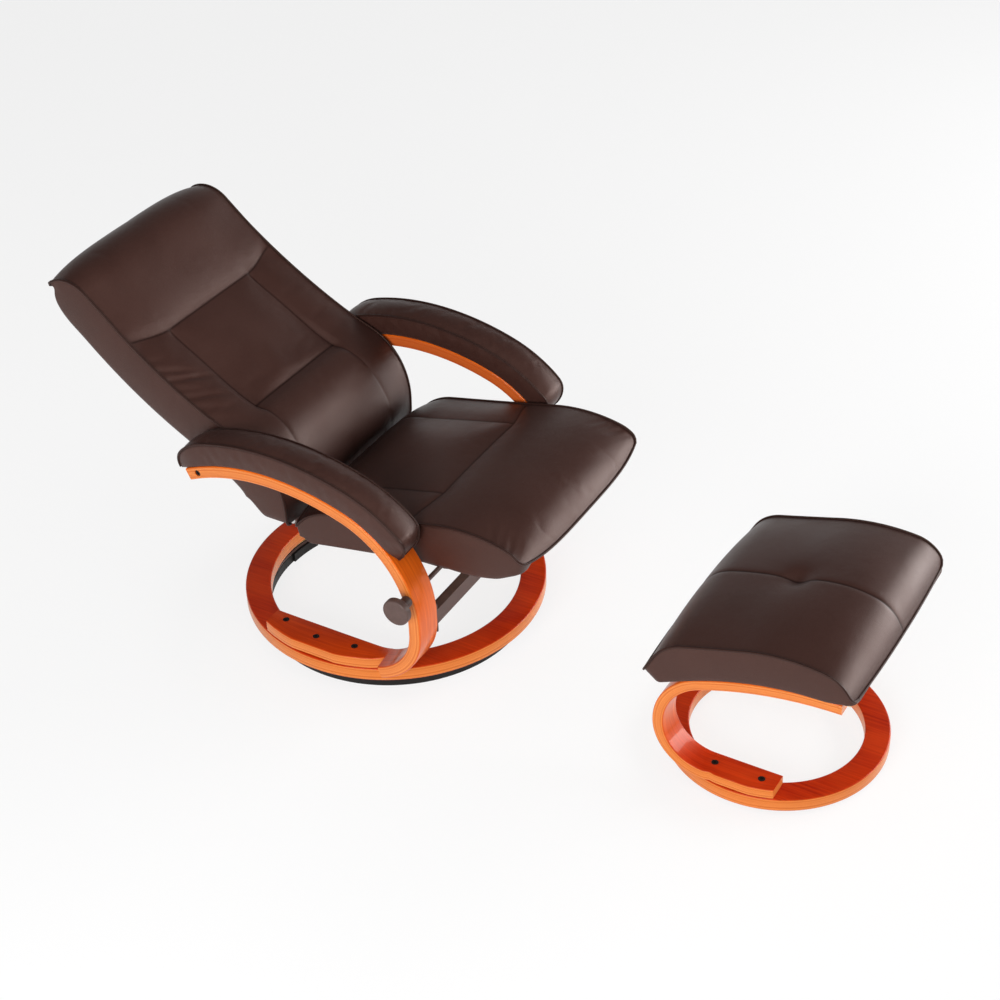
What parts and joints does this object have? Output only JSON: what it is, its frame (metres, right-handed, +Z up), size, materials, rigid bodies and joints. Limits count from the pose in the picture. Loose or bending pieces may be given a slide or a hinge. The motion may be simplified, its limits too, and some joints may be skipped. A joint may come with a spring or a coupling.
{
  "type": "reflexology chair",
  "caption": "Reclining relaxation chair on a swivel ring, bentwood arms with padded leather, a head roll, and a loose footstool on its own ring.",
  "frame": {"origin": "the swivel axis at the floor, on the underside of the chair's rubber floor strip", "axes": "+X towards the sitter's left, +Y to the rear of the chair, +Z up; the footstool stands at -Y"},
  "size_m": [0.7105, 1.8077, 0.7854],
  "materials": {
    "rubber": "matte",
    "black_steel": "satin black",
    "grey_steel": "satin dark grey",
    "bright_steel": "polished",
    "brass": "satin",
    "red_wood": "gloss lacquer, cherry red",
    "pale_wood": "raw plywood",
    "webbing": "woven elastic",
    "leather": "soft sheen, dark chocolate brown"
  },
  "bodies": {
    "floor_base": {"floor_strip": "rubber", "floor_ring": "black_steel", "ring_clip": "black_steel", "lower_race": "grey_steel", "bearing_balls": "bright_steel", "ball_cage": "brass"},
    "swivel_frame": {"upper_race": "grey_steel", "wooden_ring": "red_wood", "right_arm": "red_wood", "left_arm": "red_wood", "foot_bolts": "grey_steel", "foot_inserts": "brass", "right_arm_pad": "leather", "left_arm_pad": "leather", "stretcher": "grey_steel", "stretcher_screws": "black_steel", "cross_rod": "grey_steel", "rod_washers": "grey_steel", "rod_cap_nut": "grey_steel", "pivot_bolts": "grey_steel"},
    "back": {"back_side_rails": "pale_wood", "back_cross_rails": "pale_wood", "back_straps": "webbing", "back_cushion": "leather", "back_panel": "leather", "back_lugs": "grey_steel", "lug_screws": "black_steel", "pivot_spacers": "grey_steel", "pivot_inserts": "brass"},
    "seat": {"seat_board": "pale_wood", "seat_cushion": "leather", "seat_brackets": "grey_steel", "seat_tie": "grey_steel", "bracket_screws": "black_steel", "hinge_pins": "bright_steel"},
    "knob": {"clamp_knob": "grey_steel", "knob_insert": "brass"},
    "footstool": {"stool_ring": "red_wood", "stool_glides": "rubber", "stool_right_strip": "red_wood", "stool_left_strip": "red_wood", "stool_bolts": "grey_steel", "stool_inserts": "brass", "stool_board": "pale_wood", "stool_screws": "black_steel", "stool_cushion": "leather"}
  },
  "joints": [
    {"name": "swivel", "type": "hinge", "parent": "floor_base", "child": "swivel_frame", "pos_m": [0, 0, 0], "axis": [0, 0, 1], "continuous": true},
    {"name": "recline", "type": "hinge", "parent": "swivel_frame", "child": "back", "pos_m": [0, 0.24331, 0.45857], "axis": [1, 0, 0], "range_deg": [0, 25]},
    {"name": "seat_turn", "type": "hinge", "parent": "back", "child": "seat", "pos_m": [0, 0.11831, 0.29957], "axis": [1, 0, 0], "range_deg": [-27, 0]},
    {"name": "knob_turn", "type": "hinge", "parent": "swivel_frame", "child": "knob", "pos_m": [-0.35, -0.24862, 0.31191], "axis": [-1, 0, 0], "range_deg": [0, 360]},
    {"name": "footstool_shift", "type": "slide", "parent": "floor_base", "child": "footstool", "axis": [0, 1, 0], "range_m": [-0.3, 0.2]}
  ],
  "couplings": [
    {"joint": "seat_turn", "follows": "recline", "ratio": -1.08}
  ]
}
